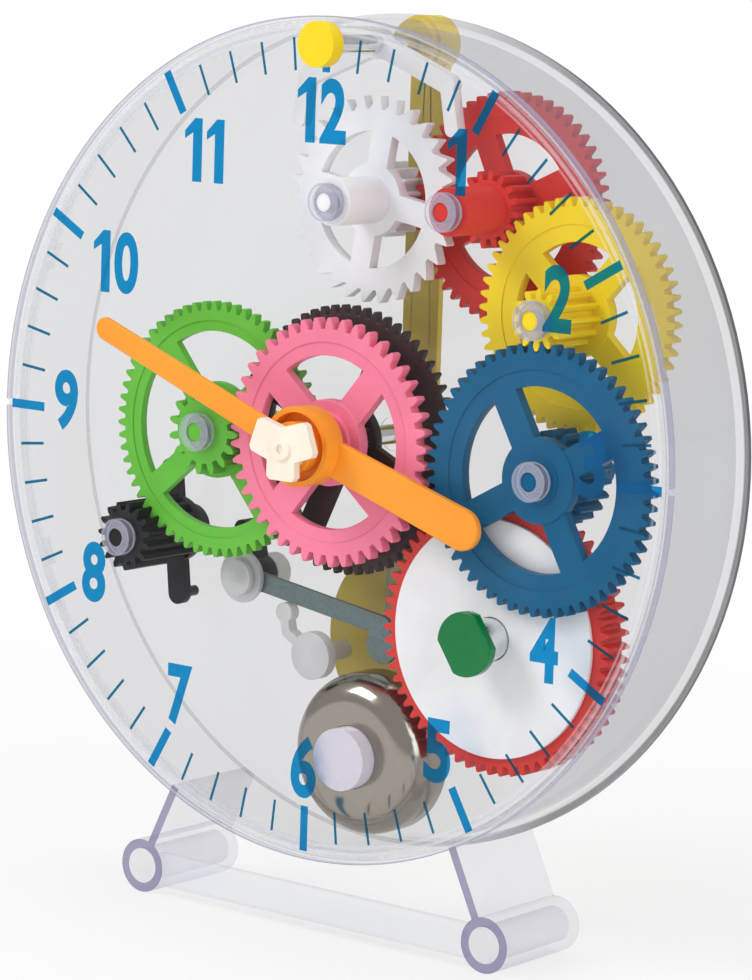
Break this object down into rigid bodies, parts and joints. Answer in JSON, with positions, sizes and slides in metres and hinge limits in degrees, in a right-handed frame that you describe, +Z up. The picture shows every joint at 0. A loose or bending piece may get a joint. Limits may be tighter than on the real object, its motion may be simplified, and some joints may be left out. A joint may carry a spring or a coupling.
{
  "type": "geared teaching clock",
  "caption": "Clear round clock on two tube feet, showing a spring-driven wheel train, hands, a pendulum behind the case and a bell that strikes the hour.",
  "frame": {"origin": "centre of the dial, where the axis of the hands meets the dial's front face", "axes": "+Z up, +Y back into the clock, +X to the right of someone reading the dial"},
  "size_m": [0.1992, 0.0552, 0.2165],
  "materials": {
    "clear_case": "clear moulded polystyrene, polished",
    "clear_stand": "clear moulded polystyrene, polished",
    "bell_chrome": "nickel-plated pressed steel",
    "frosted_white": "translucent natural plastic",
    "black_plastic": "gloss moulded",
    "red_plastic": "gloss moulded",
    "white_plastic": "gloss moulded",
    "spring_steel": "blued strip",
    "bright_steel": "plated",
    "key_green": "gloss moulded",
    "brown_plastic": "gloss moulded",
    "orange_plastic": "gloss moulded",
    "ivory_plastic": "gloss moulded",
    "pink_plastic": "gloss moulded",
    "green_plastic": "gloss moulded",
    "blue_plastic": "gloss moulded",
    "yellow_plastic": "gloss moulded",
    "grey_steel": "flat stamped strip"
  },
  "bodies": {
    "case": {"front_plate": "clear_case", "rear_case": "clear_case", "foot_left": "clear_stand", "foot_right": "clear_stand", "stand_bar": "clear_stand", "bell": "bell_chrome", "bell_post": "frosted_white", "hammer_post": "frosted_white", "hammer_rest": "frosted_white", "click": "black_plastic", "click_post": "clear_case"},
    "barrel": {"barrel_gear": "red_plastic", "barrel_cover": "white_plastic", "mainspring": "spring_steel"},
    "winder": {"winding_arbor": "bright_steel", "winding_key": "key_green", "ratchet_wheel": "bright_steel"},
    "minute": {"minute_wheel": "brown_plastic", "minute_arbor": "bright_steel", "minute_hand": "orange_plastic", "hand_nut": "ivory_plastic"},
    "hour": {"hour_wheel": "pink_plastic", "hour_hand": "orange_plastic"},
    "motion": {"motion_wheel": "green_plastic"},
    "second": {"second_wheel": "blue_plastic"},
    "third": {"third_wheel": "yellow_plastic"},
    "fourth": {"fourth_wheel": "red_plastic"},
    "escape": {"escape_wheel": "white_plastic"},
    "strike": {"strike_roller": "black_plastic", "strike_crank": "black_plastic"},
    "hammer": {"hammer_lever": "grey_steel", "hammer_cap": "frosted_white", "hammer_hub": "black_plastic"},
    "pendulum": {"pendulum_shaft": "yellow_plastic", "front_knob": "yellow_plastic", "anchor": "yellow_plastic", "rear_bushing": "frosted_white", "rear_knob": "yellow_plastic", "pendulum_rod": "yellow_plastic", "pendulum_bob": "yellow_plastic"}
  },
  "joints": [
    {"name": "barrel_turn", "type": "hinge", "parent": "case", "child": "barrel", "pos_m": [0.047, 0, -0.04043], "axis": [0, 1, 0], "continuous": true},
    {"name": "minute_turn", "type": "hinge", "parent": "case", "child": "minute", "pos_m": [0, 0, 0], "axis": [0, 1, 0], "continuous": true},
    {"name": "hour_turn", "type": "hinge", "parent": "case", "child": "hour", "pos_m": [0, 0, 0], "axis": [0, 1, 0], "continuous": true},
    {"name": "motion_turn", "type": "hinge", "parent": "case", "child": "motion", "pos_m": [-0.03748, 0, -0.00118], "axis": [0, 1, 0], "continuous": true},
    {"name": "second_turn", "type": "hinge", "parent": "case", "child": "second", "pos_m": [0.06118, 0, -0.00196], "axis": [0, 1, 0], "continuous": true},
    {"name": "third_turn", "type": "hinge", "parent": "case", "child": "third", "pos_m": [0.05967, 0, 0.03401], "axis": [0, 1, 0], "continuous": true},
    {"name": "fourth_turn", "type": "hinge", "parent": "case", "child": "fourth", "pos_m": [0.034, 0, 0.0563], "axis": [0, 1, 0], "continuous": true},
    {"name": "escape_turn", "type": "hinge", "parent": "case", "child": "escape", "pos_m": [0, 0, 0.0563], "axis": [0, 1, 0], "continuous": true},
    {"name": "strike_turn", "type": "hinge", "parent": "case", "child": "strike", "pos_m": [-0.06189, 0, -0.02965], "axis": [0, 1, 0], "continuous": true},
    {"name": "winding_turn", "type": "hinge", "parent": "case", "child": "winder", "pos_m": [0.047, 0, -0.04043], "axis": [0, 1, 0], "continuous": true},
    {"name": "pendulum_swing", "type": "hinge", "parent": "case", "child": "pendulum", "pos_m": [0, 0, 0.09253], "axis": [0, 1, 0], "range_deg": [-3.5, 3.5]},
    {"name": "hammer_lift", "type": "hinge", "parent": "case", "child": "hammer", "pos_m": [-0.0353, 0, -0.0377], "axis": [0, -1, 0], "range_deg": [0, 12]}
  ],
  "couplings": [
    {"joint": "second_turn", "follows": "barrel_turn", "ratio": -3.1},
    {"joint": "third_turn", "follows": "barrel_turn", "ratio": 15.5},
    {"joint": "fourth_turn", "follows": "barrel_turn", "ratio": -50.375},
    {"joint": "escape_turn", "follows": "barrel_turn", "ratio": 163.72},
    {"joint": "minute_turn", "follows": "barrel_turn", "ratio": -1},
    {"joint": "motion_turn", "follows": "barrel_turn", "ratio": 0.25},
    {"joint": "hour_turn", "follows": "barrel_turn", "ratio": -0.083333},
    {"joint": "strike_turn", "follows": "barrel_turn", "ratio": -1}
  ]
}
